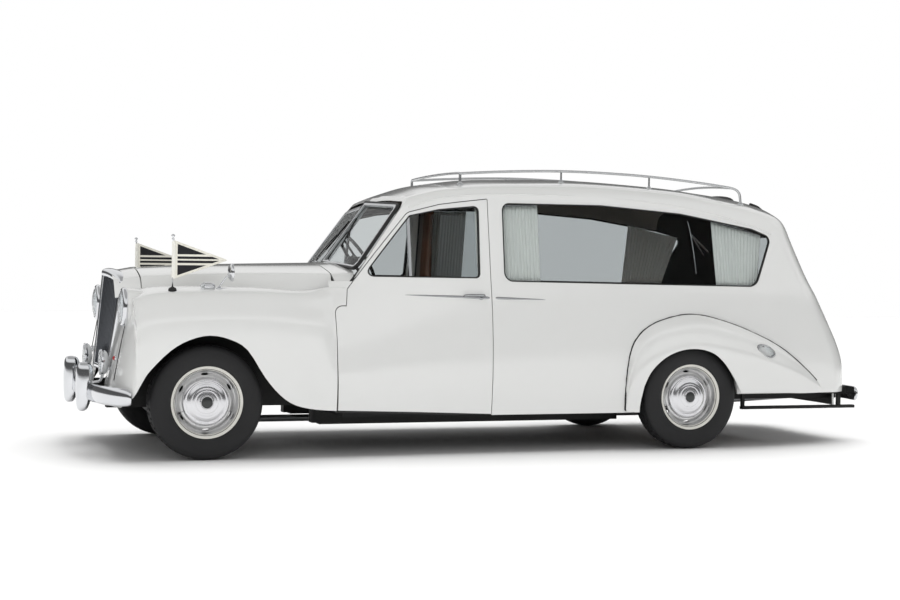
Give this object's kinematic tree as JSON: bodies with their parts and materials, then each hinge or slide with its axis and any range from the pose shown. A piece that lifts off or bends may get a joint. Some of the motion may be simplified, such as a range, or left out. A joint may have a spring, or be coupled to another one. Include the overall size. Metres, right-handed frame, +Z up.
{
  "type": "hearse",
  "caption": "White limousine-type hearse with a glazed load space, side-hinged cab doors, rear tailgate, roof rail, mourning pennants and chromed radiator grille.",
  "frame": {"origin": "on the ground, below the middle of the car's length and width", "axes": "+Z is up, the nose points to -Y, the car's left side is +X"},
  "size_m": [1.8976, 5.683, 1.9119],
  "materials": {
    "body_paint": "gloss",
    "underside": "satin",
    "chrome": "polished",
    "lamp_glass": "fluted",
    "glass": "clear",
    "cloth": "woven",
    "red_lens": "ribbed",
    "wheel_metal": "satin and polished",
    "tyre": "matt",
    "cast_iron": "cast",
    "exhaust_steel": "dull",
    "wood": "varnished",
    "black_plastic": "gloss",
    "seat_leather": "grained"
  },
  "bodies": {
    "chassis": {"body_side_left": "body_paint", "body_side_right": "body_paint", "roof": "body_paint", "floor_pan": "underside", "cowl": "body_paint", "rear_wing_left": "body_paint", "rear_wing_right": "body_paint", "front_wing_left": "body_paint", "front_wing_right": "body_paint", "nose_panel": "body_paint", "grille": "chrome", "headlamps": "lamp_glass", "front_bumper": "chrome", "fog_lamps": "lamp_glass", "rear_bumper": "chrome", "screen_frame": "chrome", "body_glass": "glass", "roof_rail": "chrome", "pennant_staffs": "chrome", "pennants": "cloth", "wing_fittings": "chrome", "rear_lamps": "red_lens", "chassis_frame": "underside", "front_suspension": "underside", "rear_axle": "underside", "engine_block": "cast_iron", "radiator": "underside", "exhaust": "exhaust_steel", "inner_wings": "underside", "dashboard": "wood", "front_seats": "seat_leather", "partition": "wood", "partition_glass": "glass", "load_deck": "wood", "curtains": "cloth"},
    "door_left": {"door_left": "body_paint", "door_glass_left": "glass"},
    "door_right": {"door_right": "body_paint", "door_glass_right": "glass"},
    "tailgate": {"tailgate": "body_paint", "tailgate_glass": "glass"},
    "bonnet": {"bonnet": "body_paint"},
    "steering_wheel": {"steering_wheel": "black_plastic"},
    "knuckle_left": {"knuckle_left": "underside"},
    "knuckle_right": {"knuckle_right": "underside"},
    "wheel_front_left": {"wheel_front_left": "wheel_metal", "tyre_front_left": "tyre"},
    "wheel_front_right": {"wheel_front_right": "wheel_metal", "tyre_front_right": "tyre"},
    "wheel_rear_left": {"wheel_rear_left": "wheel_metal", "tyre_rear_left": "tyre"},
    "wheel_rear_right": {"wheel_rear_right": "wheel_metal", "tyre_rear_right": "tyre"}
  },
  "joints": [
    {"name": "door_left_hinge", "type": "hinge", "parent": "chassis", "child": "door_left", "pos_m": [0.908, -1.2965, 0.7], "axis": [0, 0, -1], "range_deg": [0, 65]},
    {"name": "door_right_hinge", "type": "hinge", "parent": "chassis", "child": "door_right", "pos_m": [-0.908, -1.2965, 0.7], "axis": [0, 0, 1], "range_deg": [0, 65]},
    {"name": "tailgate_hinge", "type": "hinge", "parent": "chassis", "child": "tailgate", "pos_m": [0, 2.3235, 1.6], "axis": [1, 0, 0], "range_deg": [0, 85]},
    {"name": "bonnet_hinge", "type": "hinge", "parent": "chassis", "child": "bonnet", "pos_m": [0, -1.1015, 1.225], "axis": [-1, 0, 0], "range_deg": [0, 45]},
    {"name": "steer_left", "type": "hinge", "parent": "chassis", "child": "knuckle_left", "pos_m": [0.65, -2.1015, 0.358], "axis": [0, 0, 1], "range_deg": [-32, 32]},
    {"name": "steer_right", "type": "hinge", "parent": "chassis", "child": "knuckle_right", "pos_m": [-0.65, -2.1015, 0.358], "axis": [0, 0, 1], "range_deg": [-32, 32]},
    {"name": "steering_column", "type": "hinge", "parent": "chassis", "child": "steering_wheel", "pos_m": [-0.37, -0.7915, 1.285], "axis": [0, 0.8192, 0.5736], "range_deg": [-512, 512]},
    {"name": "front_left_roll", "type": "hinge", "parent": "knuckle_left", "child": "wheel_front_left", "pos_m": [0.743, -2.1015, 0.358], "axis": [1, 0, 0], "continuous": true},
    {"name": "front_right_roll", "type": "hinge", "parent": "knuckle_right", "child": "wheel_front_right", "pos_m": [-0.743, -2.1015, 0.358], "axis": [1, 0, 0], "continuous": true},
    {"name": "rear_left_roll", "type": "hinge", "parent": "chassis", "child": "wheel_rear_left", "pos_m": [0.79, 1.2515, 0.358], "axis": [1, 0, 0], "continuous": true},
    {"name": "rear_right_roll", "type": "hinge", "parent": "chassis", "child": "wheel_rear_right", "pos_m": [-0.79, 1.2515, 0.358], "axis": [1, 0, 0], "continuous": true}
  ],
  "couplings": [
    {"joint": "steer_right", "follows": "steer_left", "ratio": 1},
    {"joint": "steering_column", "follows": "steer_left", "ratio": 16}
  ]
}
